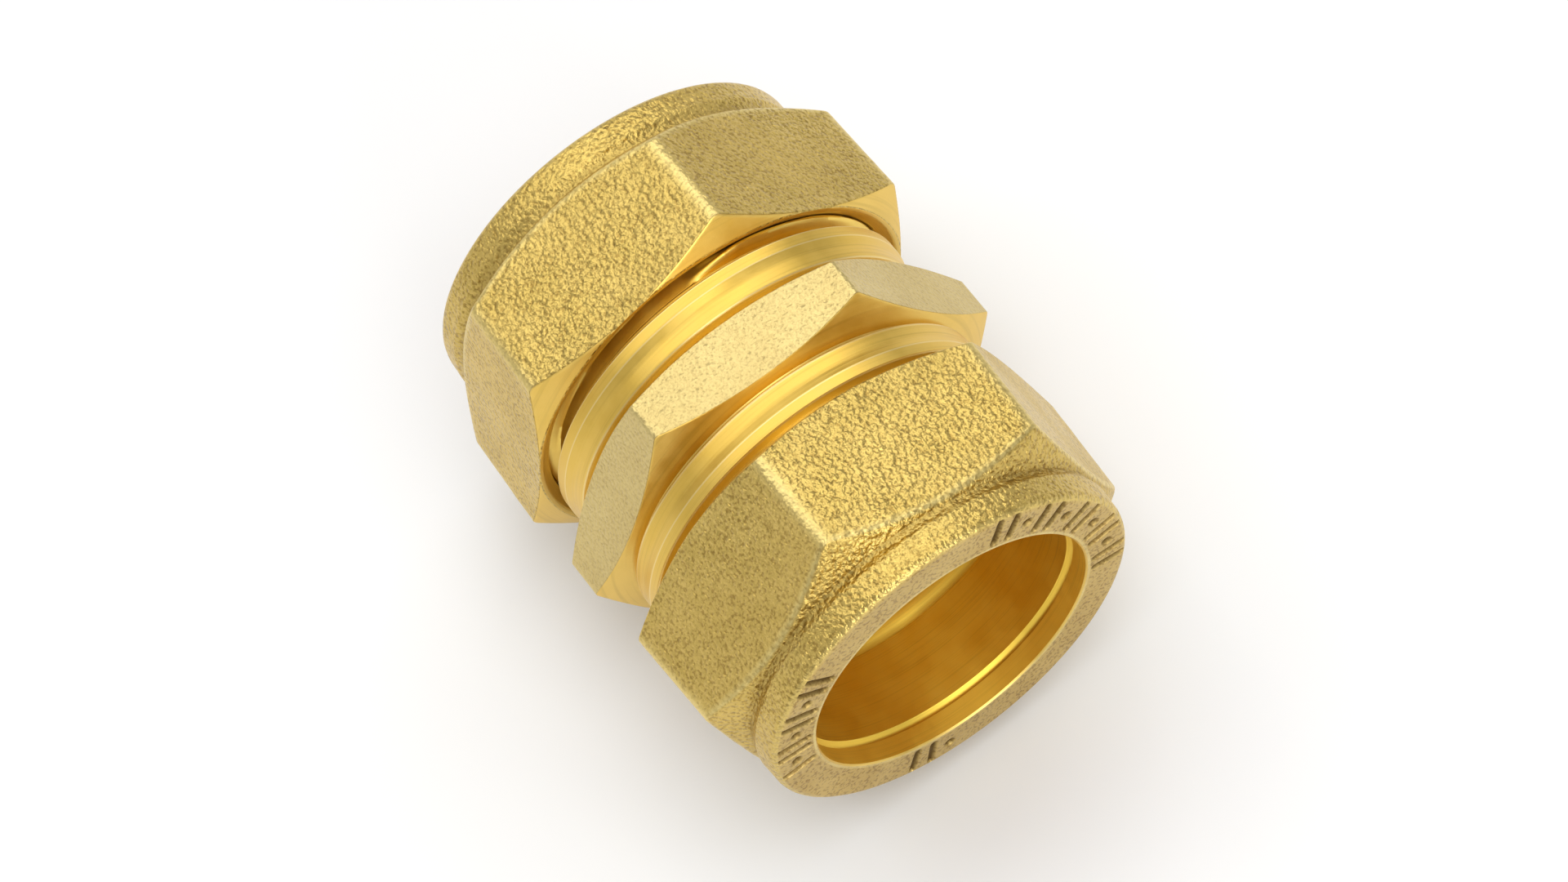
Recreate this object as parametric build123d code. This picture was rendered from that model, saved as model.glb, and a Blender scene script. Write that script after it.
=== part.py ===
from build123d import *
import os
import math

# Straight compression coupling for 22 mm tube, machined and forged brass.
# +X is the tube axis towards side a, -X towards side b, +Z is up.
# The origin is the middle of the body on the tube axis. Lengths are in mm.

# The tube the fitting takes, and the sockets that receive it
tube_d = 22.0
socket_r = tube_d / 2 + 0.15
stop_r = tube_d / 2 - 1.0
stop_half = 1.2
stop_lead = 0.5

# Centre hexagon of the body
body_flats = 29.2
body_corner_r = 0.5
body_flat_half = 1.45
body_corner_turn = -30.6
body_chamfer_slope = 0.454
chamfer_crown = 0.04
undercut_r = 13.6
undercut_x = body_flat_half + (body_flats / 2 / math.cos(math.pi / 6) - undercut_r) * body_chamfer_slope

# Neck between the hexagon and the thread
neck_x = 3.2
neck_r = 14.25
neck_edge = 0.1
ramp_x = 4.5
bead_x = 5.17
bead_r = 14.45
relief_x = 6.13
relief_r = 13.5

# Thread, right-handed on both sides
pitch = 1.5
thread_root_r = 13.05
thread_crest_r = 14.0
thread_crest_w = 0.2
flank = math.tan(math.radians(30))
thread_start_x = 6.7
body_end_x = 14.0
thread_lead = 0.9

# Olive, the soft ring squeezed on the tube
olive_r = tube_d / 2 + 0.05
olive_mid_r = 12.6
olive_end_r = 11.65
olive_in_x = 12.3
olive_out_x = 18.9
olive_slope = math.tan(math.radians(30))
olive_edge = 0.45
seat_gap = 0.17
nut_seat_gap = 0.115

# Compression nut
nut_mouth_x = 7.1
nut_face_x = 20.6
nut_flats_mouth = 30.5
nut_draft = 1.9
nut_corner_r = 0.8
nut_corner_turn = 13.6
mouth_rim_r = 15.2
mouth_chamfer_x = 1.3
mouth_chamfer_r = 17.7
back_cone_x = 15.5
back_cone_r = 18.0
cove_x = 17.6
cove_r = 14.6
cove_end_x = 17.9
collar_x = 18.5
collar_r = 14.86
collar_end_x = 20.0
collar_end_r = 14.76
collar_edge_r = 14.2
hole_r = tube_d / 2 + 0.2
hole_edge = 0.12
flange = 1.6
nut_minor_r = 13.2
nut_major_r = 14.15
nut_crest_w = 0.17
countersink_r = 14.9
countersink_x = 0.55
nut_thread_start_x = 7.9
nut_thread_end_x = 14.9
nut_relief_x = 15.3
nut_seat_r = 13.3

# Local frames with their z axis along the tube, pointing outwards
side_a = Plane(origin=(0, 0, 0), x_dir=(0, 0, 1), z_dir=(1, 0, 0))
side_b = Plane(origin=(0, 0, 0), x_dir=(0, 0, 1), z_dir=(-1, 0, 0))


def turned(points):
    """Solid of revolution about local z from (z, r) points."""
    outline = [(r, z) for z, r in points]
    face = Plane.XZ * make_face(Polyline(*outline, close=True).edges())
    return revolve(face, Axis.Z, 360)


def hexagon(flats, rounding, turn):
    """Hexagon with rounded corners, one corner turned from local x."""
    shape = RegularPolygon(flats / 2 / math.cos(math.pi / 6), 6, rotation=turn)
    return fillet(shape.vertices(), rounding)


def helical_ridge(base_r, tip_r, tip_w, z_low, z_high, phase_z):
    """Right-hand thread ridge between two radii, with a crest width."""
    base_w = tip_w + 2 * abs(tip_r - base_r) * flank
    turns_below = math.floor((phase_z - z_low) / pitch)
    z_start = phase_z - turns_below * pitch
    outline = [
        (base_r, z_start - base_w / 2),
        (base_r, z_start + base_w / 2),
        (tip_r, z_start + tip_w / 2),
        (tip_r, z_start - tip_w / 2),
    ]
    face = Plane.XZ * make_face(Polyline(*outline, close=True).edges())
    path = Helix(pitch, z_high - z_start, base_r, center=(0, 0, z_start))
    return sweep(face, path, is_frenet=True)


def body_thread():
    """External thread of one side, cut to a lead-in cone at the mouth."""
    ridge = helical_ridge(
        thread_root_r - 0.1,
        thread_crest_r,
        thread_crest_w,
        thread_start_x + 0.6,
        body_end_x - 0.1,
        thread_start_x + 0.6,
    )
    room = turned(
        [
            (thread_start_x - 1.2, thread_root_r - 0.3),
            (thread_start_x - 1.2, thread_crest_r + 1),
            (body_end_x - thread_lead, thread_crest_r + 0.02),
            (body_end_x, thread_root_r + 0.02),
            (body_end_x, thread_root_r - 0.3),
        ]
    )
    return ridge & room


def hexagon_room():
    """Turned blank of the hexagon, its two chamfers very slightly domed."""
    corner_r = body_flats / 2 / math.cos(math.pi / 6)
    slant = math.hypot(corner_r - undercut_r, undercut_x - body_flat_half)
    mid_r = (corner_r + undercut_r) / 2 + chamfer_crown * (undercut_x - body_flat_half) / slant
    mid_x = (body_flat_half + undercut_x) / 2 + chamfer_crown * (corner_r - undercut_r) / slant
    lower = ThreePointArc((corner_r, -body_flat_half), (mid_r, -mid_x), (undercut_r, -undercut_x))
    upper = ThreePointArc((corner_r, body_flat_half), (mid_r, mid_x), (undercut_r, undercut_x))
    rest = Polyline((undercut_r, -undercut_x), (0, -undercut_x), (0, undercut_x), (undercut_r, undercut_x))
    rim = Line((corner_r, -body_flat_half), (corner_r, body_flat_half))
    outline = lower.edges() + upper.edges() + rest.edges() + rim.edges()
    return revolve(Plane.XZ * make_face(outline), Axis.Z, 360)


def make_body():
    prism = extrude(hexagon(body_flats, body_corner_r, body_corner_turn), undercut_x, both=True)
    barrel = [
        (0, 0),
        (0, undercut_r),
        (undercut_x, undercut_r),
        (neck_x, neck_r - neck_edge),
        (neck_x + neck_edge, neck_r),
        (ramp_x, neck_r),
        (bead_x, bead_r),
        (relief_x - 0.1, bead_r),
        (relief_x, bead_r - 0.1),
        (relief_x, relief_r),
        (thread_start_x, relief_r),
        (thread_start_x + 0.3, thread_root_r),
        (body_end_x, thread_root_r),
        (body_end_x, 0),
    ]
    seat_start_x = olive_in_x - (olive_end_r + seat_gap - socket_r) / olive_slope
    seat_end_r = socket_r + (body_end_x - seat_start_x) * olive_slope
    bore = [
        (0, 0),
        (0, stop_r),
        (stop_half - 0.4, stop_r),
        (stop_half, stop_r + 0.4),
        (stop_half, socket_r),
        (seat_start_x, socket_r),
        (body_end_x, seat_end_r),
        (body_end_x + 1, seat_end_r),
        (body_end_x + 1, 0),
    ]
    solid = side_a * (prism & hexagon_room())
    for side in (side_a, side_b):
        solid = solid + side * turned(barrel)
        solid = solid + side * body_thread()
    for side in (side_a, side_b):
        solid = solid - side * turned(bore)
    return solid


def make_olive(side):
    ramp = (olive_mid_r - olive_end_r) / olive_slope
    outline = [
        (olive_in_x, olive_r),
        (olive_in_x, olive_end_r),
        (olive_in_x + ramp, olive_mid_r),
        (olive_out_x - ramp, olive_mid_r),
        (olive_out_x, olive_end_r),
        (olive_out_x, olive_r + olive_edge),
        (olive_out_x - olive_edge, olive_r),
    ]
    return side * turned(outline)


def nut_outside():
    """Forged hexagon with draft, a cone at each end and a round collar."""
    length = cove_end_x - nut_mouth_x
    base = hexagon(nut_flats_mouth, nut_corner_r, nut_corner_turn)
    prism = Pos(0, 0, nut_mouth_x) * extrude(base, length, taper=nut_draft)
    room = turned(
        [
            (nut_mouth_x, 0),
            (nut_mouth_x, mouth_rim_r),
            (nut_mouth_x + mouth_chamfer_x, mouth_chamfer_r),
            (nut_mouth_x + mouth_chamfer_x, back_cone_r + 1),
            (back_cone_x, back_cone_r + 1),
            (back_cone_x, back_cone_r),
            (cove_x, cove_r),
            (cove_x + 0.15, 0),
        ]
    )
    collar = turned(
        [
            (cove_x - 1, 0),
            (cove_x - 1, cove_r - 0.3),
            (cove_x, cove_r),
            (cove_end_x, cove_r),
            (collar_x, collar_r),
            (collar_end_x, collar_end_r),
            (nut_face_x - 0.2, (collar_end_r + collar_edge_r) / 2 + 0.08),
            (nut_face_x, collar_edge_r),
            (nut_face_x, 0),
        ]
    )
    return (prism & room) + collar


def nut_inside():
    flange_x = nut_face_x - flange
    seat_r = olive_end_r + nut_seat_gap
    seat_x = flange_x - (nut_seat_r - seat_r) / olive_slope
    return turned(
        [
            (nut_mouth_x - 1, 0),
            (nut_mouth_x - 1, countersink_r),
            (nut_mouth_x, countersink_r),
            (nut_mouth_x + countersink_x, nut_major_r),
            (nut_relief_x, nut_major_r),
            (nut_relief_x + 0.2, nut_seat_r),
            (seat_x, nut_seat_r),
            (flange_x, seat_r),
            (flange_x, hole_r),
            (nut_face_x - hole_edge, hole_r),
            (nut_face_x, hole_r + hole_edge),
            (nut_face_x + 1, hole_r + hole_edge),
            (nut_face_x + 1, 0),
        ]
    )


def nut_thread():
    """Internal thread, cut off where the countersink of the mouth ends."""
    ridge = helical_ridge(
        nut_major_r + 0.1,
        nut_minor_r,
        nut_crest_w,
        nut_thread_start_x,
        nut_thread_end_x - 1,
        thread_start_x + 0.6 + pitch / 2,
    )
    room = turned(
        [
            (nut_mouth_x + countersink_x, nut_minor_r - 0.3),
            (nut_mouth_x + countersink_x, nut_major_r + 0.3),
            (nut_relief_x, nut_major_r + 0.3),
            (nut_relief_x, nut_minor_r - 0.3),
        ]
    )
    return ridge & room


def make_nut(side):
    return side * ((nut_outside() - nut_inside()) + nut_thread())


os.makedirs("parts", exist_ok=True)
pieces = {
    "body": make_body(),
    "olive_a": make_olive(side_a),
    "olive_b": make_olive(side_b),
    "nut_a": make_nut(side_a),
    "nut_b": make_nut(side_b),
}
for name, shape in pieces.items():
    export_step(shape, f"parts/{name}.step")
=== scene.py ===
"""Looks of a straight brass compression coupling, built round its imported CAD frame."""

import math

import bpy
import numpy as np
from mathutils import Matrix, Vector


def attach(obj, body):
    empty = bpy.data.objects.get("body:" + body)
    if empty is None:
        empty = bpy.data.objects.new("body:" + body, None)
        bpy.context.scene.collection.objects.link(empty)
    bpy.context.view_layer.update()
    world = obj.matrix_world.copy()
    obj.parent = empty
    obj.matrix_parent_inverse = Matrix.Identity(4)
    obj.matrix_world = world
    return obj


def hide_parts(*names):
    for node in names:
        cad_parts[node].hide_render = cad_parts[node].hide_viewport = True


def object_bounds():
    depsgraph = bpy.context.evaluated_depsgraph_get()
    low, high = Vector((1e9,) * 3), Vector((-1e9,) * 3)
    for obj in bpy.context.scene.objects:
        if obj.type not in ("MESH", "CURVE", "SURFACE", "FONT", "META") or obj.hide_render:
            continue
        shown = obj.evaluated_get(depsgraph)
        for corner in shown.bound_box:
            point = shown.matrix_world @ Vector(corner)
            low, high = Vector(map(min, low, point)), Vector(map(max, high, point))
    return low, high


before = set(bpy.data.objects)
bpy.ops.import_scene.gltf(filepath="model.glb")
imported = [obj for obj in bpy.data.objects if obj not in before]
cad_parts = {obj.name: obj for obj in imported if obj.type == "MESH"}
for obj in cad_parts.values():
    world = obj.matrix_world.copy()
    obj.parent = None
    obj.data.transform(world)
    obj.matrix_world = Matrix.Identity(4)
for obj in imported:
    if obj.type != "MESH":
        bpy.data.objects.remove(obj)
cad_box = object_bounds()

MM = 0.001

# ---------------------------------------------------------------- dimensions, in mm

# As in the CAD, except that the collar's edges are rounded where the CAD has flat chamfers.
# The body's outline also rounds the edges of its neck and the bottoms of its undercuts.

PITCH = 1.5
FLANK = math.tan(math.radians(30))
HEX = math.pi / 6

SOCKET_R = 11.15
STOP_R = 10.0
STOP_HALF = 1.2
OLIVE_R = 11.05
OLIVE_MID_R = 12.6
OLIVE_END_R = 11.65
OLIVE_IN_X = 12.3
OLIVE_OUT_X = 18.9
OLIVE_EDGE = 0.45

BODY_FLATS = 29.2
BODY_EDGE_R = 0.5
BODY_TURN = math.radians(-30.6)
BODY_CORNER_R = BODY_FLATS / 2 / math.cos(HEX)
BODY_FLAT_HALF = 1.45
BODY_CHAMFER = 0.454
CHAMFER_CROWN = 0.04
UNDERCUT_R = 13.6
UNDERCUT_X = BODY_FLAT_HALF + (BODY_CORNER_R - UNDERCUT_R) * BODY_CHAMFER
NECK_X = 3.2
NECK_R = 14.25
NECK_EDGE = 0.1
RAMP_X = 4.5
BEAD_X = 5.17
BEAD_R = 14.45
RELIEF_X = 6.13
RELIEF_R = 13.5
ROOT_R = 13.05
CREST_R = 14.0
THREAD_X = 6.7
THREAD_FIRST_X = THREAD_X + 0.6
BODY_END_X = 14.0
THREAD_LEAD = 0.9
THREAD_END_X = 13.9
THREAD_CREST_W = 0.2
STOP_EDGE = 0.4
SEAT_GAP = 0.17
NUT_SEAT_GAP = 0.115

NUT_MOUTH_X = 7.1
NUT_FACE_X = 20.6
NUT_FLATS = 30.5
NUT_DRAFT = math.tan(math.radians(1.9))
NUT_CREST_W = 0.17
NUT_RELIEF_X = 15.3
NUT_RELIEF_RUN = 0.2
NUT_CORNER_R = 0.8
NUT_TURN = math.radians(13.6)
MOUTH_RIM_R = 15.2
MOUTH_CHAMFER_X = 1.3
MOUTH_CHAMFER_R = 17.7
COUNTERSINK_R = 14.9
COUNTERSINK_X = 0.55
BACK_CONE = ((15.5, 18.0), (17.6, 14.6))
COVE_END = (17.9, 14.6)
COLLAR_RISE = ((18.15, 14.68), (18.5, 14.84))
COLLAR_END = (20.0, 14.76)
COLLAR_EDGE = ((20.22, 14.70), (20.4, 14.57), (20.53, 14.40))
COLLAR_EDGE_R = 14.2
HOLE_R = 11.2
HOLE_EDGE = 0.12
FLANGE = 1.6
NUT_MINOR_R = 13.2
NUT_MAJOR_R = 14.15
NUT_SEAT_R = 13.3


# ---------------------------------------------------------------- smooth noise for mesh detail


def turns(count):
    """Evenly spaced angles round the axis."""
    return np.arange(count) * 2 * math.pi / count


def near(distance, reach):
    """1 at no distance, fading to 0 beyond the reach."""
    return np.exp(-((distance / reach) ** 2))


def lattice(ix, iy, iz, seed):
    """A repeatable value in 0..1 for each lattice corner."""
    h = ix * 374761393 + iy * 668265263 + iz * 2147483647 + seed * 1274126177
    h = (h ^ (h >> 13)) * 1274126177
    h = h ^ (h >> 16)
    return (h & 0xFFFFFF) / float(0xFFFFFF)


def value_noise(points, size, seed):
    """Smooth value noise in 0..1 at points (n, 3), with cells of that size."""
    p = points / size + 1000.0
    base = np.floor(p).astype(np.int64)
    f = p - base
    f = f * f * (3 - 2 * f)
    total = np.zeros(len(points))
    for dx in (0, 1):
        for dy in (0, 1):
            for dz in (0, 1):
                weight = (
                    np.where(dx, f[:, 0], 1 - f[:, 0])
                    * np.where(dy, f[:, 1], 1 - f[:, 1])
                    * np.where(dz, f[:, 2], 1 - f[:, 2])
                )
                total += weight * lattice(base[:, 0] + dx, base[:, 1] + dy, base[:, 2] + dz, seed)
    return total


# ---------------------------------------------------------------- round pieces as closed grids


def hexagon_r(beta, apothem, rounding, turn):
    """Radius of a hexagon with rounded corners at each angle."""
    psi = np.mod(beta - turn + HEX, 2 * HEX) - HEX
    centre = (apothem - rounding) / math.cos(HEX)
    tangent = np.arctan2(rounding * math.sin(HEX), centre + rounding * math.cos(HEX))
    flat = apothem / np.cos(HEX - np.abs(psi))
    inside = np.maximum(rounding**2 - (centre * np.sin(psi)) ** 2, 0)
    arc = centre * np.cos(psi) + np.sqrt(inside)
    return np.where(np.abs(psi) < tangent, arc, flat)


def soft_min(a, b, k):
    """The lower of two radii, with the crease between them eased over k."""
    h = np.maximum(k - np.abs(a - b), 0) / k
    return np.minimum(a, b) - h * h * k / 4


def ridge_height(z, beta, first_z, last_z, tip_w, height):
    """Height of a right-hand thread ridge at each z and angle."""
    lift = first_z + PITCH * np.mod(beta, 2 * math.pi) / (2 * math.pi)
    off = np.mod(z - lift + PITCH / 2, PITCH) - PITCH / 2
    centre = z - off
    shape = np.clip((tip_w / 2 + height * FLANK - np.abs(off)) / FLANK, 0, height)
    ramp = np.clip((centre - first_z) / (PITCH * 0.05), 0, 1)
    ramp = ramp * np.clip((last_z - centre) / (PITCH * 0.05), 0, 1)
    return shape * ramp


SHARP_ANGLE = math.radians(38)


class Loop:
    """A closed outline in (x, r), cut into rows, each strip with a material slot and a kind."""

    def __init__(self, x, r):
        self.x, self.r, self.slots, self.kinds = [x], [r], [], []

    def to(self, x, r, step, slot, kind="round"):
        """A straight stretch to (x, r), in strips of about that step."""
        x0, r0 = self.x[-1], self.r[-1]
        count = max(1, round(math.hypot(x - x0, r - r0) / step))
        for i in range(1, count + 1):
            self.x.append(x0 + (x - x0) * i / count)
            self.r.append(r0 + (r - r0) * i / count)
            self.slots.append(slot)
            self.kinds.append(kind)


def grid_piece(name, loop, beta, mirror, shape, materials):
    """A closed mesh turned from the loop.

    shape(x, r, beta, kind) gives each point's x, its radius and the values its material reads."""
    rows, columns = len(loop.slots), len(beta)
    grid_b = np.repeat(beta[None, :], rows, 0)
    grid_x = np.repeat(np.array(loop.x[:-1])[:, None], columns, 1)
    grid_r = np.repeat(np.array(loop.r[:-1])[:, None], columns, 1)
    kinds = np.roll(np.array(loop.kinds), 1)[:, None]
    grid_x, grid_r, values = shape(grid_x, grid_r, grid_b, kinds)
    sign = -1 if mirror else 1
    points = np.stack(
        [sign * grid_x, -sign * grid_r * np.sin(grid_b), grid_r * np.cos(grid_b)], -1
    ).reshape(-1, 3)
    i = np.arange(rows)[:, None]
    j = np.arange(columns)[None, :]
    down, right = (i + 1) % rows, (j + 1) % columns
    quads = np.stack(
        [i * columns + j, i * columns + right, down * columns + right, down * columns + j], -1
    ).reshape(-1, 4)
    a, b, c = (points[quads[:, k]] for k in (0, 1, 2))
    d = points[quads[:, 3]]
    volume = np.einsum("ij,ij->i", a, np.cross(b, c)).sum()
    volume += np.einsum("ij,ij->i", a, np.cross(c, d)).sum()
    if volume < 0:
        quads = quads[:, ::-1]
    mesh = bpy.data.meshes.new(name)
    mesh.vertices.add(len(points))
    mesh.vertices.foreach_set("co", (points * MM).ravel())
    mesh.loops.add(len(quads) * 4)
    mesh.loops.foreach_set("vertex_index", quads.ravel().astype(np.int32))
    mesh.polygons.add(len(quads))
    mesh.polygons.foreach_set("loop_start", np.arange(len(quads), dtype=np.int32) * 4)
    mesh.polygons.foreach_set("loop_total", np.full(len(quads), 4, dtype=np.int32))
    slots = np.repeat(np.array(loop.slots, dtype=np.int32), columns)
    mesh.polygons.foreach_set("material_index", slots)
    mesh.polygons.foreach_set("use_smooth", np.ones(len(quads), dtype=bool))
    mesh.update(calc_edges=True)
    for key, value in values.items():
        layer = mesh.attributes.new(key, "FLOAT", "POINT")
        layer.data.foreach_set("value", value.ravel().astype(np.float32))
    for material in materials:
        mesh.materials.append(material)
    mesh.set_sharp_from_angle(angle=SHARP_ANGLE)
    piece = bpy.data.objects.new(name, mesh)
    bpy.context.scene.collection.objects.link(piece)
    return piece


# ---------------------------------------------------------------- materials


def nodes_of(name):
    """A new metallic material, with its node tree and its shader."""
    material = bpy.data.materials.new(name)
    material.use_nodes = True
    tree = material.node_tree
    tree.nodes.clear()
    out = tree.nodes.new("ShaderNodeOutputMaterial")
    shader = tree.nodes.new("ShaderNodeBsdfPrincipled")
    tree.links.new(shader.outputs["BSDF"], out.inputs["Surface"])
    shader.inputs["Metallic"].default_value = 1.0
    return material, tree, shader


def noise(tree, source, size_mm, detail=2.0, roughness=0.5, stretch=None):
    """Noise with cells of about size_mm, in the piece's own coordinates."""
    node = tree.nodes.new("ShaderNodeTexNoise")
    node.inputs["Scale"].default_value = 1.0 / (size_mm * MM)
    node.inputs["Detail"].default_value = detail
    node.inputs["Roughness"].default_value = roughness
    if stretch:
        mapping = tree.nodes.new("ShaderNodeMapping")
        mapping.inputs["Scale"].default_value = stretch
        tree.links.new(source, mapping.inputs["Vector"])
        source = mapping.outputs["Vector"]
    tree.links.new(source, node.inputs["Vector"])
    return node.outputs["Fac"]


def spread(tree, value, low, high, to_low=0.0, to_high=1.0):
    """The value's low..high taken to to_low..to_high, and held at the ends."""
    node = tree.nodes.new("ShaderNodeMapRange")
    node.inputs["From Min"].default_value = low
    node.inputs["From Max"].default_value = high
    node.inputs["To Min"].default_value = to_low
    node.inputs["To Max"].default_value = to_high
    tree.links.new(value, node.inputs["Value"])
    return node.outputs["Result"]


def mixed(tree, factor, a, b):
    """A colour between a and b. Each is a colour or a link."""
    node = tree.nodes.new("ShaderNodeMix")
    node.data_type = "RGBA"
    tree.links.new(factor, node.inputs["Factor"])
    for socket, value in ((node.inputs["A"], a), (node.inputs["B"], b)):
        if isinstance(value, tuple):
            socket.default_value = (*value, 1)
        else:
            tree.links.new(value, socket)
    return node.outputs["Result"]


def maths(tree, kind, a, b):
    """A sum or other operation on two numbers or links."""
    node = tree.nodes.new("ShaderNodeMath")
    node.operation = kind
    for socket, value in zip(node.inputs, (a, b)):
        if isinstance(value, (int, float)):
            socket.default_value = value
        else:
            tree.links.new(value, socket)
    return node.outputs["Value"]


def between(tree, factor, a, b):
    """A number between a and b. Each is a number or a link."""
    node = tree.nodes.new("ShaderNodeMapRange")
    tree.links.new(factor, node.inputs["Value"])
    for socket, value in ((node.inputs["To Min"], a), (node.inputs["To Max"], b)):
        if isinstance(value, (int, float)):
            socket.default_value = value
        else:
            tree.links.new(value, socket)
    return node.outputs["Result"]


def pebbles(tree, source, size_mm):
    """Rounded bumps, 1 at each middle and falling towards the seams."""
    node = tree.nodes.new("ShaderNodeTexVoronoi")
    node.feature = "SMOOTH_F1"
    node.inputs["Scale"].default_value = 1.0 / (size_mm * MM)
    node.inputs["Smoothness"].default_value = 0.35
    tree.links.new(source, node.inputs["Vector"])
    return spread(tree, node.outputs["Distance"], 0.10, 0.75, 1.0, 0.0)


def own_coordinates(tree):
    """Coordinates that stay with the piece as it moves."""
    return tree.nodes.new("ShaderNodeTexCoord").outputs["Object"]


def attribute(tree, name):
    """The value of that name stored on the mesh."""
    node = tree.nodes.new("ShaderNodeAttribute")
    node.attribute_name = name
    return node.outputs["Fac"]


def finish(tree, shader, look):
    """Joins a look's colour, roughness and height in mm to the shader."""
    tone, roughness, height_mm = look
    tree.links.new(tone, shader.inputs["Base Color"])
    tree.links.new(roughness, shader.inputs["Roughness"])
    node = tree.nodes.new("ShaderNodeBump")
    node.inputs["Distance"].default_value = MM
    tree.links.new(height_mm, node.inputs["Height"])
    tree.links.new(node.outputs["Normal"], shader.inputs["Normal"])


def cast_look(tree, at, grain_mm, depth_mm, pitted, light, dark, rough):
    """Shot-blasted forging: fine grain with small dark pits, paler and smoother where rubbed, paler
    too with a painted highlight along ridges and rims, and darkened with painted shade in coves and
    stamped marks.
    """
    grain = pebbles(tree, at, grain_mm)
    waves = noise(tree, at, grain_mm * 0.6, 1.0, 0.5)
    broad = noise(tree, at, 3.2, 2.0, 0.55)
    cloud = noise(tree, at, 9.0, 1.0, 0.5)
    painted_shade = attribute(tree, "painted_shade")
    rim = attribute(tree, "rim")
    # Painted highlight: a pale line along the ends of the flats, where they turn into the back
    # cone.
    rim_start, rim_end = spread(tree, rim, -0.9, -0.2), spread(tree, rim, 0.15, -0.05)
    rim_highlight = maths(tree, "MULTIPLY", rim_start, rim_end)
    rim_highlight = maths(tree, "MULTIPLY", rim_highlight, spread(tree, waves, 0.3, 0.6, 0.25, 0.7))
    wear_and_highlight = maths(tree, "MAXIMUM", attribute(tree, "wear_and_highlight"), rim_highlight)
    tone = mixed(tree, spread(tree, broad, 0.35, 0.65), dark, light)
    shade = (0.46 * dark[0], 0.38 * dark[1], 0.32 * dark[2])
    pit_share = spread(tree, broad, 0.3, 0.7, pitted, 0.7 * pitted)
    pits = maths(tree, "MULTIPLY", spread(tree, waves, 0.50, 0.34), pit_share)
    tone = mixed(tree, pits, tone, shade)
    # Ridges, rims and edges go paler: partly rubbing, partly painted highlight.
    tone = mixed(tree, maths(tree, "MULTIPLY", wear_and_highlight, 0.85), tone, WORN_AND_HIGHLIGHT)
    # Painted shade: coves and stamped marks are darkened towards a near-black brown.
    tone = mixed(tree, painted_shade, tone, PAINTED_SHADE_COLOUR)
    roughness = spread(tree, cloud, 0.35, 0.65, rough - 0.05, rough + 0.06)
    roughness = between(tree, painted_shade, between(tree, wear_and_highlight, roughness, rough), 0.6)
    height = maths(tree, "ADD", grain, maths(tree, "MULTIPLY", waves, 1.6))
    height = maths(tree, "MULTIPLY", height, between(tree, wear_and_highlight, depth_mm, depth_mm * 0.25))
    return tone, roughness, height


RING_STRETCH = (1.0, 0.012, 0.012)


def turned_look(tree, at, light, dark, rough, ring_depth_mm, ring_mm):
    """Machined on a lathe: fine rings round the axis, faint stains and small specks."""
    rings = noise(tree, at, ring_mm, 2.0, 0.6, RING_STRETCH)
    stain = noise(tree, at, 2.6, 3.0, 0.6)
    speck = noise(tree, at, 0.12, 1.0, 0.5)
    tone = mixed(tree, spread(tree, stain, 0.35, 0.68), dark, light)
    scored = maths(tree, "MULTIPLY", spread(tree, rings, 0.52, 0.68), 0.3)
    tone = mixed(tree, scored, tone, tuple(0.62 * c for c in dark))
    # Edges and ridges go paler: partly rubbing, partly painted highlight.
    edge_wear_and_highlight = maths(tree, "MULTIPLY", attribute(tree, "wear_and_highlight"), 0.6)
    tone = mixed(tree, edge_wear_and_highlight, tone, EDGE_WEAR_AND_HIGHLIGHT)
    # Painted shade: the same darkening of coves and stamped marks.
    tone = mixed(tree, attribute(tree, "painted_shade"), tone, PAINTED_SHADE_COLOUR)
    roughness = spread(tree, stain, 0.3, 0.7, rough - 0.04, rough + 0.07)
    height = maths(tree, "ADD", rings, maths(tree, "MULTIPLY", speck, 0.3))
    return tone, roughness, maths(tree, "MULTIPLY", height, ring_depth_mm)


def cast_brass(name, cast, turned):
    """Forged skin, machined where the piece's own value cut is above 0."""
    material, tree, shader = nodes_of(name)
    at = own_coordinates(tree)
    rough_skin = cast_look(tree, at, *cast)
    smooth_skin = turned_look(tree, at, *turned)
    cut = spread(tree, attribute(tree, "cut"), -0.015, 0.015)
    tone = mixed(tree, cut, rough_skin[0], smooth_skin[0])
    roughness = between(tree, cut, rough_skin[1], smooth_skin[1])
    height = between(tree, cut, rough_skin[2], smooth_skin[2])
    finish(tree, shader, (tone, roughness, height))
    return material


def plain_brass(name, look, *values):
    """One look all over."""
    material, tree, shader = nodes_of(name)
    finish(tree, shader, look(tree, own_coordinates(tree), *values))
    return material


# Pale brass of rubbed ridges and rims, doubling as their painted highlight, and of the edges'
# painted highlight.
WORN_AND_HIGHLIGHT = (0.84, 0.69, 0.29)
EDGE_WEAR_AND_HIGHLIGHT = (0.90, 0.74, 0.38)
# Near-black brown of the painted shade in coves and stamped marks.
PAINTED_SHADE_COLOUR = (0.11, 0.06, 0.013)

# Grain size and depth in mm, share of pits, pale and dark colour, roughness.
FORGED_LOOK = (0.42, 0.064, 0.68, (0.67, 0.482, 0.137), (0.61, 0.435, 0.115), 0.37)
FINE_LOOK = (0.34, 0.034, 0.3, (0.65, 0.507, 0.205), (0.625, 0.48, 0.188), 0.38)
FACE_LOOK = (0.42, 0.018, 0.7, (0.625, 0.455, 0.165), (0.56, 0.395, 0.133), 0.42)

# Pale and dark colour, roughness, ring depth and ring width in mm.
TURNED_LOOK = ((0.82, 0.575, 0.15), (0.77, 0.525, 0.12), 0.36, 0.011, 0.2)
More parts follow.
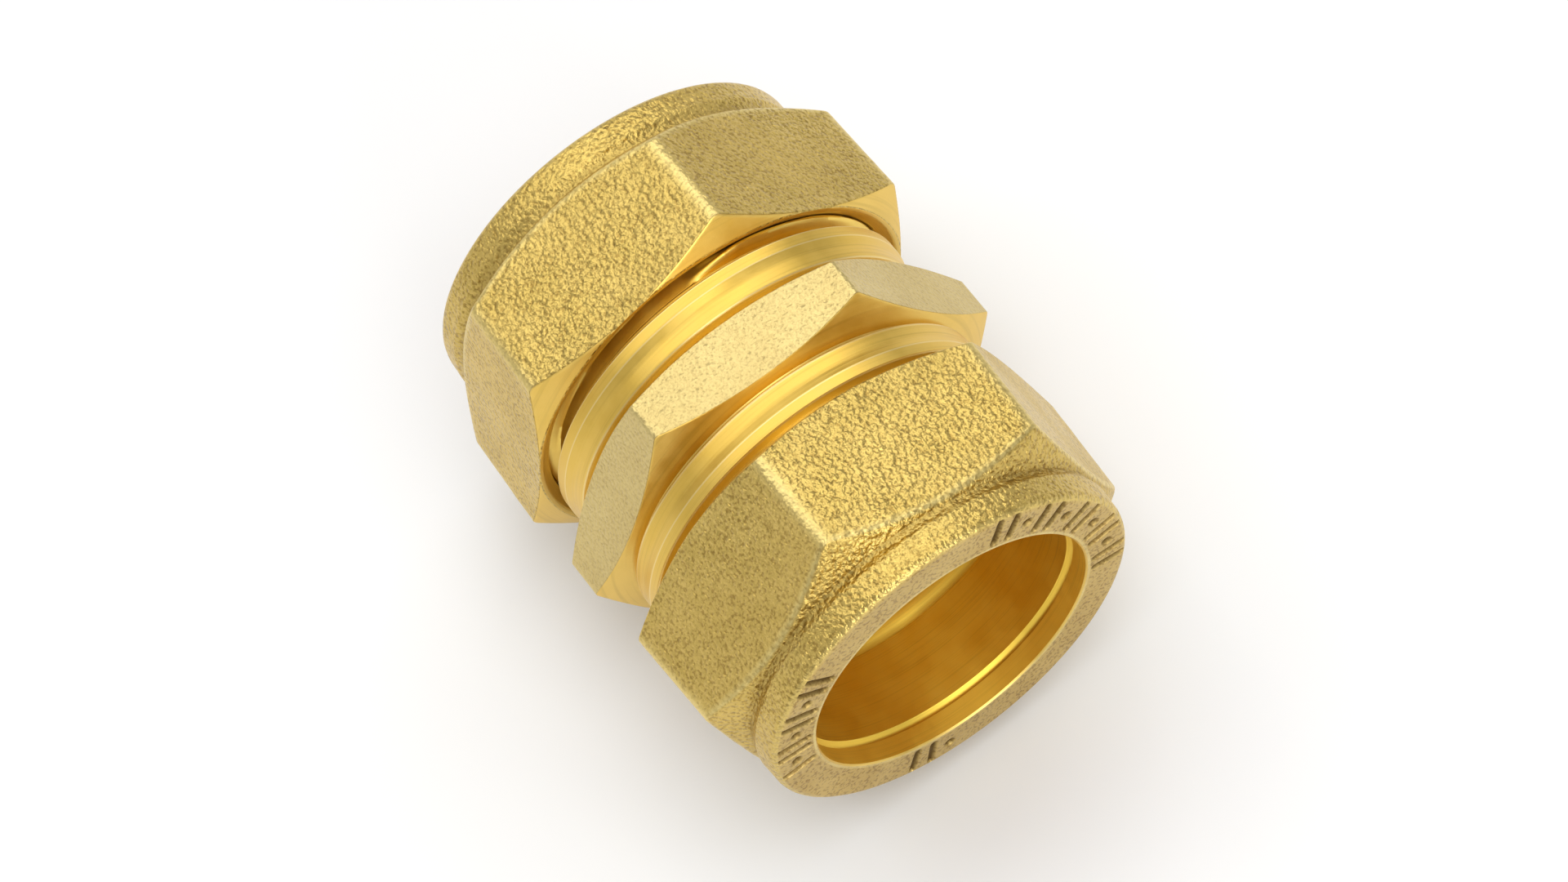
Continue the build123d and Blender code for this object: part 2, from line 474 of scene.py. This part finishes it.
# A darker, more saturated copy of the turned brass for the neck: painted reflection of the nuts'
# shaded walls.
SHADED_NECK_LOOK = ((0.78, 0.53, 0.115), (0.73, 0.48, 0.09), 0.38, 0.011, 0.2)
# A paler copy of the turned brass for the relief and threads: painted light lifting the shaded gap
# under the nut's mouth.
LIT_THREAD_LOOK = ((0.95, 0.70, 0.18), (0.91, 0.65, 0.145), 0.4, 0.004, 0.16)
# A brighter, more saturated copy of the turned brass for the bores: painted light inside them.
LIT_BORED_LOOK = ((0.95, 0.665, 0.105), (0.93, 0.64, 0.095), 0.5, 0.002, 0.16)
BRIGHT_LOOK = ((0.92, 0.645, 0.1), (0.89, 0.61, 0.085), 0.42, 0.002, 0.1)

FORGED = cast_brass("forged_brass", FORGED_LOOK, TURNED_LOOK)
FINE = cast_brass("blasted_brass", FINE_LOOK, TURNED_LOOK)
FACE = plain_brass("faced_brass", cast_look, *FACE_LOOK)
TURNED = plain_brass("turned_brass", turned_look, *TURNED_LOOK)
LIT_BORED = plain_brass("lit_bored_brass", turned_look, *LIT_BORED_LOOK)
LIT_THREADED = plain_brass("lit_threaded_brass", turned_look, *LIT_THREAD_LOOK)
SHADED_NECK = plain_brass("shaded_neck_brass", turned_look, *SHADED_NECK_LOOK)
BRIGHT = plain_brass("olive_brass", turned_look, *BRIGHT_LOOK)

# ---------------------------------------------------------------- nuts

NUT_SLOTS = [FORGED, TURNED, FACE, LIT_BORED, LIT_THREADED]
OUT, CUT, END, BORE, THREAD = range(5)

# The crease between flats and cones is sharp near the mouth and softer further out.
NUT_EASING_X = [10.0, 14.0]
NUT_EASING = [0.2, 0.36]
NUT_LUMP_DEPTH = 0.035
NUT_SKIN_FADE = 0.4
# Nut ridges go paler, partly rubbed and partly a painted highlight of their rounded corners; the
# collar's rounded edge gets a faint painted highlight.
NUT_RIDGE_REACH = 0.52
NUT_RIDGE_WEAR_AND_HIGHLIGHT = 0.75
COLLAR_EDGE_HIGHLIGHT = 0.2
BURR_WIDTH = 0.35
# Painted shade: the cove between the back cone and the collar is darkened, most at its middle.
COVE_MIDDLE_X = 17.75
COVE_SHADE_REACH = 0.35
COVE_SHADE = 0.22
# Painted shade: the stamped marks are darkened almost to black, by their depth.
MARK_SHADE = 0.92

# Stored values where a strip has no rim, and where it isn't machined.
NO_RIM = 3.0
NOT_CUT = -1.0

# Stamped marks on the end face of nut a: plain rows of strokes with a dot after every second one.
# Each row is its first angle, its last angle and the number of marks.
MARK_ROWS = [(-103.5, -27.0, 14), (45.0, 92.0, 10), (155.0, 168.0, 3)]
MARK_R = (11.95, 14.1)
MARK_DOT_R = 13.0
MARK_HALF_WIDTH = 0.27
MARK_DOT_HALF_WIDTH = 0.42
MARK_DEPTH = 0.26


def mark_depth(r, beta):
    """How deep the stamped marks go, 0 to 1."""
    depth = np.zeros(r.shape)
    for first, last, count in MARK_ROWS:
        for k in range(count):
            dot = k % 3 == 2
            angle = math.radians(first + (last - first) * k / (count - 1))
            along = np.full(r.shape, MARK_DOT_R) if dot else np.clip(r, *MARK_R)
            half_width = MARK_DOT_HALF_WIDTH if dot else MARK_HALF_WIDTH
            turn = np.mod(beta - angle + math.pi, 2 * math.pi) - math.pi
            gap = np.hypot(r * turn, r - along)
            depth = np.maximum(depth, np.clip(1.6 * (1 - gap / (half_width + 0.1)), 0, 1))
    return depth * depth * (3 - 2 * depth)


def nut_loop(step):
    """The nut's outline, from its mouth along the outside to the end face and back inside."""
    flange_x = NUT_FACE_X - FLANGE
    seat_r = OLIVE_END_R + NUT_SEAT_GAP
    seat_x = flange_x - (NUT_SEAT_R - seat_r) / FLANK
    loop = Loop(NUT_MOUTH_X, COUNTERSINK_R)
    loop.to(NUT_MOUTH_X, MOUTH_RIM_R, 0.1, CUT)
    loop.to(NUT_MOUTH_X + MOUTH_CHAMFER_X, MOUTH_CHAMFER_R, step, OUT, "cut")
    loop.to(*BACK_CONE[0], step, OUT, "hex")
    loop.to(*BACK_CONE[1], step, OUT, "cone")
    loop.to(*COVE_END, 0.1, OUT, "skin")
    for point in COLLAR_RISE:
        loop.to(*point, 0.13, OUT, "skin")
    loop.to(*COLLAR_END, step, OUT, "skin")
    for point, kind in zip(COLLAR_EDGE, ("skin", "edge", "edge")):
        loop.to(*point, 0.1, OUT, kind)
    loop.to(NUT_FACE_X, COLLAR_EDGE_R, 0.1, END, "face")
    loop.to(NUT_FACE_X, HOLE_R + HOLE_EDGE, 0.085, END, "face")
    loop.to(NUT_FACE_X - HOLE_EDGE, HOLE_R, 0.1, CUT)
    loop.to(flange_x, HOLE_R, 0.5, BORE)
    loop.to(flange_x, seat_r, 0.3, BORE)
    loop.to(seat_x, NUT_SEAT_R, 1.0, BORE)
    loop.to(NUT_RELIEF_X + NUT_RELIEF_RUN, NUT_SEAT_R, 0.5, BORE)
    loop.to(NUT_RELIEF_X, NUT_MAJOR_R, 0.4, BORE)
    loop.to(NUT_MOUTH_X + COUNTERSINK_X, NUT_MAJOR_R, 0.12, THREAD, "thread")
    loop.to(NUT_MOUTH_X, COUNTERSINK_R, 0.2, THREAD)
    return loop


def nut_shape(stamped):
    """The shape function of a nut, with or without the stamped marks."""

    def shape(x, r, beta, kind):
        apothem = NUT_FLATS / 2 - (x - NUT_MOUTH_X) * NUT_DRAFT
        hexagon = hexagon_r(beta, apothem, NUT_CORNER_R, NUT_TURN)
        cut, flat, cone = kind == "cut", kind == "hex", kind == "cone"
        outside = cut | flat | cone
        easing = np.interp(x, NUT_EASING_X, NUT_EASING)
        shaped = np.where(outside, soft_min(hexagon, r, easing), r)
        first_x = THREAD_FIRST_X + PITCH / 2
        height = NUT_MAJOR_R - NUT_MINOR_R
        thread = ridge_height(x, beta, first_x, THREAD_END_X, NUT_CREST_W, height)
        shaped = np.where(kind == "thread", r - thread, shaped)
        points = np.stack([x, r * np.sin(beta), r * np.cos(beta)], -1).reshape(-1, 3)
        lumps = value_noise(points, 1.3, 3) * 0.6 + value_noise(points, 0.7, 4) * 0.4
        lumps = lumps.reshape(x.shape)
        rough = flat | cone | (kind == "skin")
        cast = np.where(cut, np.clip((r - hexagon) / NUT_SKIN_FADE, 0, 1), rough)
        shaped = shaped - NUT_LUMP_DEPTH * lumps * cast
        psi = np.mod(beta - NUT_TURN + HEX, 2 * HEX) - HEX
        ridge = near(r * psi, NUT_RIDGE_REACH) * (outside & (hexagon < r + 0.05))
        above = hexagon - r
        # Painted highlight, with rubbing, along the rounded ridges and on the collar edge.
        wear_and_highlight = ridge * NUT_RIDGE_WEAR_AND_HIGHLIGHT * (0.6 + 0.4 * lumps)
        wear_and_highlight = np.where(kind == "edge", COLLAR_EDGE_HIGHLIGHT, wear_and_highlight)
        burr = (kind == "face") & (r < HOLE_R + BURR_WIDTH)
        wear_and_highlight = np.where(burr, 0.75 * lumps + 0.2, wear_and_highlight)
        # Painted shade in the cove, where it lies below the flats.
        painted_shade = COVE_SHADE * near(x - COVE_MIDDLE_X, COVE_SHADE_REACH) * (rough & (r < hexagon))
        depth = mark_depth(r, beta) * (kind == "face") if stamped else np.zeros(x.shape)
        # Painted shade in the stamped marks.
        painted_shade = np.maximum(painted_shade, MARK_SHADE * depth)
        rim = np.where(cone, above, NO_RIM)
        turned = np.where(cut, above, NOT_CUT)
        values = {"wear_and_highlight": wear_and_highlight, "painted_shade": painted_shade, "cut": turned, "rim": rim}
        return x - MARK_DEPTH * depth, shaped, values

    return shape


def build_nut(name, mirror, beta):
    """One nut's mesh, moving with its CAD body. The mirrored one has no marks."""
    shape = nut_shape(not mirror)
    piece = grid_piece(name + "_shell", nut_loop(0.15), beta, mirror, shape, NUT_SLOTS)
    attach(piece, name)
    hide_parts(name)


STAMPED_ARCS = ((-107, -25), (42, 96), (152, 171))
fine_angles = np.concatenate([np.arange(low, high, 0.25) for low, high in STAMPED_ARCS])
near_angles = np.mod(np.round(np.concatenate([np.arange(0, 360, 0.5), fine_angles]), 2), 360)
build_nut("nut_a", False, np.radians(np.unique(near_angles)))
build_nut("nut_b", True, turns(720))

# ---------------------------------------------------------------- body

BODY_SLOTS = [FINE, TURNED, LIT_BORED, LIT_THREADED, SHADED_NECK]
HEXAGON, LATHE, SOCKET, SPIGOT, NECK = range(5)
BODY_LUMP_DEPTH = 0.012
BODY_SKIN_FADE = 0.3
# Body ridges go paler, partly rubbed and partly a painted highlight.
BODY_RIDGE_REACH = 0.25
BODY_RIDGE_WEAR_AND_HIGHLIGHT = 0.5
BODY_EASING = 0.08
OVER_CORNER = 0.2


def body_loop():
    """The body's outline: one side from the middle of a flat round to the stop, then its mirror."""
    seat_x = OLIVE_IN_X - (OLIVE_END_R + SEAT_GAP - SOCKET_R) / FLANK
    seat_r = SOCKET_R + (BODY_END_X - seat_x) * FLANK
    slant = math.hypot(BODY_CORNER_R - UNDERCUT_R, UNDERCUT_X - BODY_FLAT_HALF)
    crown_x = CHAMFER_CROWN * (BODY_CORNER_R - UNDERCUT_R) / slant
    crown_r = CHAMFER_CROWN * (UNDERCUT_X - BODY_FLAT_HALF) / slant
    middle_x = (BODY_FLAT_HALF + UNDERCUT_X) / 2 + crown_x
    middle_r = (BODY_CORNER_R + UNDERCUT_R) / 2 + crown_r
    half = [
        (BODY_FLAT_HALF, BODY_CORNER_R + OVER_CORNER, 0.15, HEXAGON, "hex"),
        (BODY_FLAT_HALF + 0.01, BODY_CORNER_R, 0.1, HEXAGON, "cut"),
        (middle_x, middle_r, 0.09, HEXAGON, "cut"),
        (UNDERCUT_X - 0.05, UNDERCUT_R + 0.11, 0.09, HEXAGON, "cut"),
        (UNDERCUT_X + 0.04, UNDERCUT_R + 0.08, 0.1, LATHE, "round"),
        (NECK_X, NECK_R - 2 * NECK_EDGE, 0.1, LATHE, "round"),
        (NECK_X + 0.02, NECK_R - NECK_EDGE, 0.1, NECK, "edge"),
        (NECK_X + 0.09, NECK_R - 0.03, 0.1, NECK, "edge"),
        (NECK_X + 2 * NECK_EDGE, NECK_R, 0.1, NECK, "edge"),
        (RAMP_X - 0.2, NECK_R, 0.12, NECK, "round"),
        (RAMP_X + 0.08, NECK_R + 0.035, 0.07, NECK, "round"),
        (BEAD_X - 0.12, BEAD_R - 0.045, 0.07, NECK, "round"),
        (BEAD_X, BEAD_R - 0.01, 0.06, NECK, "round"),
        (BEAD_X + 0.08, BEAD_R, 0.07, NECK, "edge"),
        (RELIEF_X - 0.1, BEAD_R, 0.1, NECK, "round"),
        (RELIEF_X, BEAD_R - 0.1, 0.06, NECK, "edge"),
        (RELIEF_X, RELIEF_R, 0.2, SPIGOT, "round"),
        (THREAD_X, RELIEF_R, 0.2, SPIGOT, "round"),
        (THREAD_X + 0.3, ROOT_R, 0.1, SPIGOT, "round"),
        (BODY_END_X, ROOT_R, 0.1, SPIGOT, "thread"),
        (BODY_END_X, seat_r, 0.2, LATHE, "round"),
        (seat_x, SOCKET_R, 0.6, SOCKET, "round"),
        (STOP_HALF, SOCKET_R, 0.8, SOCKET, "round"),
        (STOP_HALF, STOP_R + STOP_EDGE, 0.3, SOCKET, "round"),
        (STOP_HALF - STOP_EDGE, STOP_R, 0.2, SOCKET, "round"),
    ]
    loop = Loop(0.0, BODY_CORNER_R + OVER_CORNER)
    for x, r, step, slot, kind in half:
        loop.to(x, r, step, slot, kind)
    back = [(-x, r) for x, r, *_ in half][::-1]
    facts = [(step, slot, kind) for _, _, step, slot, kind in half][::-1]
    loop.to(*back[0], 0.8, SOCKET)
    for (x, r), (step, slot, kind) in zip(back[1:] + [(0.0, BODY_CORNER_R + OVER_CORNER)], facts):
        loop.to(x, r, step, slot, kind)
    return loop


def body_shape(x, r, beta, kind):
    """Flats and threads of the body at each point, with paler ridges, partly rubbed and partly
    painted highlight, and neck edges lit as painted highlight.
    """
    hexagon = hexagon_r(beta, BODY_FLATS / 2, BODY_EDGE_R, BODY_TURN)
    cut, flat = kind == "cut", kind == "hex"
    shaped = np.where(cut | flat, soft_min(hexagon, r, BODY_EASING), r)
    z = np.abs(x)
    turn = np.where(x > 0, beta, -beta)
    height = CREST_R - ROOT_R
    thread = ridge_height(z, turn, THREAD_FIRST_X, THREAD_END_X, THREAD_CREST_W, height)
    lead = ROOT_R + (BODY_END_X - z) * height / THREAD_LEAD
    ridged = np.minimum(r + thread, np.maximum(lead, r))
    shaped = np.where(kind == "thread", ridged, shaped)
    points = np.stack([x, r * np.sin(beta), r * np.cos(beta)], -1).reshape(-1, 3)
    lumps = value_noise(points, 0.9, 7).reshape(x.shape)
    cast = np.where(cut | flat, np.clip((r - hexagon) / BODY_SKIN_FADE, 0, 1), 0)
    shaped = shaped - BODY_LUMP_DEPTH * lumps * cast
    psi = np.mod(beta - BODY_TURN + HEX, 2 * HEX) - HEX
    ridge = near(r * psi, BODY_RIDGE_REACH) * ((cut | flat) & (hexagon < r))
    wear_and_highlight = ridge * BODY_RIDGE_WEAR_AND_HIGHLIGHT * lumps
    # Painted highlight: the rounded neck edges are made fully pale, as bright lines.
    wear_and_highlight = np.where(kind == "edge", 1.0, wear_and_highlight)
    plain = np.zeros(x.shape)
    turned = np.where(cut, hexagon - r, NOT_CUT)
    values = {"wear_and_highlight": wear_and_highlight, "painted_shade": plain, "cut": turned, "rim": plain + NO_RIM}
    return x, shaped, values


body = grid_piece("body_shell", body_loop(), turns(720), False, body_shape, BODY_SLOTS)
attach(body, "body")
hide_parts("body")

# ---------------------------------------------------------------- olives


def olive_loop():
    """The olive's outline: a cone at each end and a chamfer at the outer end of its bore."""
    ramp = (OLIVE_MID_R - OLIVE_END_R) / FLANK
    loop = Loop(OLIVE_IN_X, OLIVE_R)
    loop.to(OLIVE_IN_X, OLIVE_END_R, 0.15, 0)
    loop.to(OLIVE_IN_X + ramp, OLIVE_MID_R, 0.4, 0)
    loop.to(OLIVE_OUT_X - ramp, OLIVE_MID_R, 0.6, 0)
    loop.to(OLIVE_OUT_X, OLIVE_END_R, 0.4, 0)
    loop.to(OLIVE_OUT_X, OLIVE_R + OLIVE_EDGE, 0.08, 0)
    loop.to(OLIVE_OUT_X - OLIVE_EDGE, OLIVE_R, 0.08, 0)
    loop.to(OLIVE_IN_X, OLIVE_R, 0.6, 0)
    return loop


def olive_shape(x, r, beta, kind):
    """Plainly turned, with no rubbing, no painted highlight and no painted shade."""
    plain = np.zeros(x.shape)
    return x, r, {"wear_and_highlight": plain, "painted_shade": plain}


for side, mirror in (("a", False), ("b", True)):
    node = "olive_" + side
    olive = grid_piece(node + "_ring", olive_loop(), turns(360), mirror, olive_shape, [BRIGHT])
    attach(olive, node)
    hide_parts(node)

# ---------------------------------------------------------------- floor, light and camera

FLOOR_Z = cad_box[0][2] - 0.00002
FLOOR_REACH = 1.5
FLOOR_COLOUR = (0.93, 0.93, 0.93, 1)
sides = [(-1, -1), (1, -1), (1, 1), (-1, 1)]
corners = [(x * FLOOR_REACH, y * FLOOR_REACH, FLOOR_Z) for x, y in sides]
mesh = bpy.data.meshes.new("floor")
mesh.from_pydata(corners, [], [(0, 1, 2, 3)])
floor = bpy.data.objects.new("floor", mesh)
bpy.context.scene.collection.objects.link(floor)
paper, _, shader = nodes_of("floor_paper")
shader.inputs["Metallic"].default_value = 0.0
shader.inputs["Base Color"].default_value = FLOOR_COLOUR
shader.inputs["Roughness"].default_value = 0.9
mesh.materials.append(paper)


def soft_box(name, toward, power):
    """A square area light on that side of the fitting, aimed at its middle."""
    light = bpy.data.lights.new(name, "AREA")
    light.shape = "RECTANGLE"
    light.size = light.size_y = LIGHT_SIZE
    light.energy = power
    place = Vector(toward).normalized() * LIGHT_DISTANCE
    lamp = bpy.data.objects.new(name, light)
    bpy.context.scene.collection.objects.link(lamp)
    lamp.location = place
    lamp.rotation_euler = (LIGHT_AIM - place).to_track_quat("-Z", "Y").to_euler()


LIGHT_SIZE = 0.26
LIGHT_DISTANCE = 0.45
LIGHT_AIM = Vector((0, 0, 0))
LIGHTS = [
    ("overhead", (-0.42, 0.10, 0.90), 0.283),
    ("far_side", (-0.42, 0.58, 0.70), 0.33),
    ("near_side", (-0.48, -0.39, 0.78), 0.28),
    ("left", (-0.25, -1.0, 0.22), 0.0708),
    ("rear", (-1.0, 0.0, 0.36), 0.14),
    ("front", (1.0, 0.0, 0.40), 0.649),
    ("top", (0.30, 0.10, 1.0), 0.531),
]
for light_name, toward, power in LIGHTS:
    soft_box(light_name, toward, power)

WORLD_STRENGTH = 0.505
world = bpy.data.worlds.new("studio")
world.use_nodes = True
sky = world.node_tree.nodes["Background"]
sky.inputs["Color"].default_value = (1, 1, 1, 1)
sky.inputs["Strength"].default_value = WORLD_STRENGTH
bpy.context.scene.world = world
bpy.context.scene.view_settings.view_transform = "Standard"

CAMERA_AZIMUTH = math.radians(-13.643)
CAMERA_ELEVATION = math.radians(63.963)
CAMERA_ROLL = math.radians(-23.797)
CAMERA_DISTANCE = 0.43935
CAMERA_AIM = Vector((0.00032, 0.00006, -0.0001))
CAMERA_LENS = 145.8

back = Vector(
    (
        math.cos(CAMERA_ELEVATION) * math.cos(CAMERA_AZIMUTH),
        math.cos(CAMERA_ELEVATION) * math.sin(CAMERA_AZIMUTH),
        math.sin(CAMERA_ELEVATION),
    )
)
level = Vector((0, 0, 1)).cross(back).normalized()
rise = back.cross(level)
right = level * math.cos(CAMERA_ROLL) + rise * math.sin(CAMERA_ROLL)
up = rise * math.cos(CAMERA_ROLL) - level * math.sin(CAMERA_ROLL)
camera = bpy.data.objects.new("camera", bpy.data.cameras.new("camera"))
bpy.context.scene.collection.objects.link(camera)
camera.data.lens = CAMERA_LENS
camera.data.sensor_width = 36
camera.data.clip_start = 0.01
camera.data.clip_end = 10
axes = Matrix((right, up, back)).transposed().to_4x4()
camera.matrix_world = Matrix.Translation(CAMERA_AIM + back * CAMERA_DISTANCE) @ axes
bpy.context.scene.camera = camera
